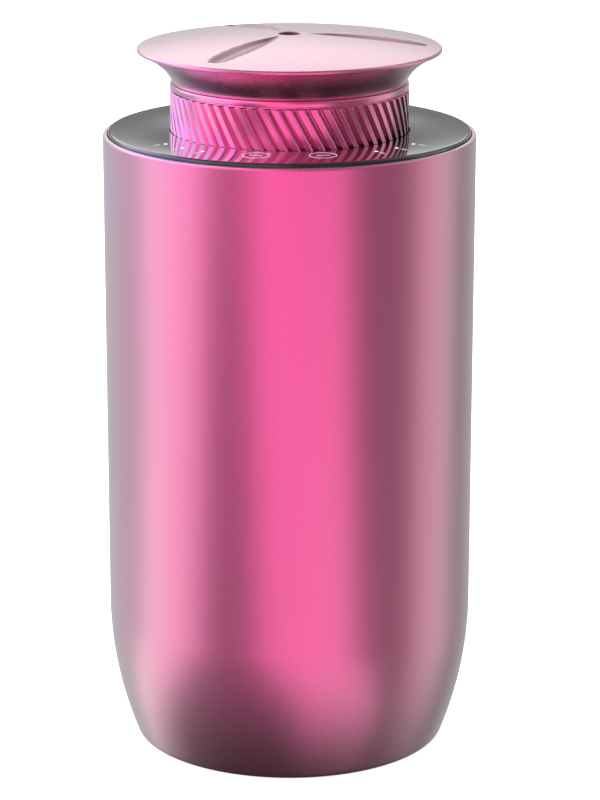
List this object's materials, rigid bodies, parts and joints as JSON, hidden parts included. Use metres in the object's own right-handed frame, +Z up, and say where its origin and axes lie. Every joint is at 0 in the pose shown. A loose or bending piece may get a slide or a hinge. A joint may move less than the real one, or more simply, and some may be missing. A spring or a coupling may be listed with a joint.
{
  "type": "waterless fragrance diffuser",
  "caption": "Round metal can with a gloss touch panel round a ribbed twist head; a flared cap lets mist out of a central hole, and the fragrance bottle lifts out.",
  "frame": {"origin": "centre of the foot pad's underside, on the surface the diffuser stands on", "axes": "+Z up along the can's axis; -Y towards the front, where the two touch keys are; +Y the back, with the charging socket; +X to the right seen from the front"},
  "size_m": [0.07, 0.07, 0.1371],
  "materials": {
    "can_pink": "satin anodised, fine metallic flake",
    "collar_pink": "polished anodised",
    "cap_pink": "satin anodised, fine grain",
    "panel_black": "high gloss, near mirror",
    "plastic_black": "fine matt",
    "plastic_grey": "fine matt",
    "plastic_white": "matt",
    "plastic_clear": "clear, glossy",
    "rubber_black": "matt rubber",
    "silicone": "translucent soft silicone",
    "steel": "bright plated",
    "motor_metal": "bright plated can",
    "board_green": "lacquered circuit board",
    "lamp_white": "diffusing lens",
    "bottle_glass": "amber, clear",
    "cell_wrap": "satin film wrap",
    "felt_white": "open felt"
  },
  "bodies": {
    "housing": {"outer_shell": "can_pink", "touch_panel": "panel_black", "light_mask": "plastic_black", "touch_board": "board_green", "indicator_led_1": "lamp_white", "indicator_led_2": "lamp_white", "indicator_led_3": "lamp_white", "indicator_led_4": "lamp_white", "indicator_led_5": "lamp_white", "indicator_led_6": "lamp_white", "touch_spring_left": "steel", "touch_spring_right": "steel", "upper_deck": "plastic_black", "head_gasket": "silicone", "deck_screw_1": "steel", "deck_screw_2": "steel", "deck_screw_3": "steel", "air_nozzle": "plastic_grey", "bottle_well": "plastic_grey", "well_pad": "rubber_black", "inner_frame": "plastic_black", "battery_cell": "cell_wrap", "main_board": "board_green", "driver_chip": "plastic_black", "boost_coil": "plastic_grey", "battery_plug": "plastic_white", "charge_board": "board_green", "usb_socket": "steel", "usb_bezel": "plastic_black", "motor_can": "motor_metal", "pump_body": "plastic_grey", "pump_grommet": "rubber_black", "pump_diaphragm": "silicone", "rocker_plate": "plastic_grey", "valve_cover": "plastic_grey", "air_tube": "silicone", "base_plate": "plastic_black", "intake_filter": "felt_white", "foot_pad": "rubber_black", "base_screw_1": "steel", "base_screw_2": "steel", "base_screw_3": "steel"},
    "pump_crank": {"motor_shaft": "steel", "crank_hub": "steel"},
    "cartridge": {"bottle": "bottle_glass"},
    "seal_carrier": {"bottle_seal": "silicone"},
    "twist_head": {"grip_collar": "collar_pink", "trim_ring": "collar_pink", "cap": "cap_pink", "atomiser_base": "plastic_black", "head_oring": "rubber_black", "jet_nozzle": "steel", "dip_tube": "plastic_clear", "dip_filter": "felt_white", "mist_chamber": "plastic_clear", "baffle": "plastic_clear", "mist_chimney": "plastic_clear"}
  },
  "joints": [
    {"name": "cartridge_lift", "type": "slide", "parent": "housing", "child": "cartridge", "axis": [0, 0, 1], "range_m": [0, 0.08]},
    {"name": "head_rise", "type": "slide", "parent": "cartridge", "child": "seal_carrier", "axis": [0, 0, 1], "range_m": [0, 0.003]},
    {"name": "head_unscrew", "type": "hinge", "parent": "seal_carrier", "child": "twist_head", "pos_m": [0, 0, 0.11], "axis": [0, 0, 1], "range_deg": [0, 540]},
    {"name": "pump_crank_spin", "type": "hinge", "parent": "housing", "child": "pump_crank", "pos_m": [0, 0, 0.02], "axis": [0, 0, 1], "continuous": true}
  ],
  "couplings": [
    {"joint": "head_rise", "follows": "head_unscrew", "m_per_rad": 0.0003183}
  ]
}
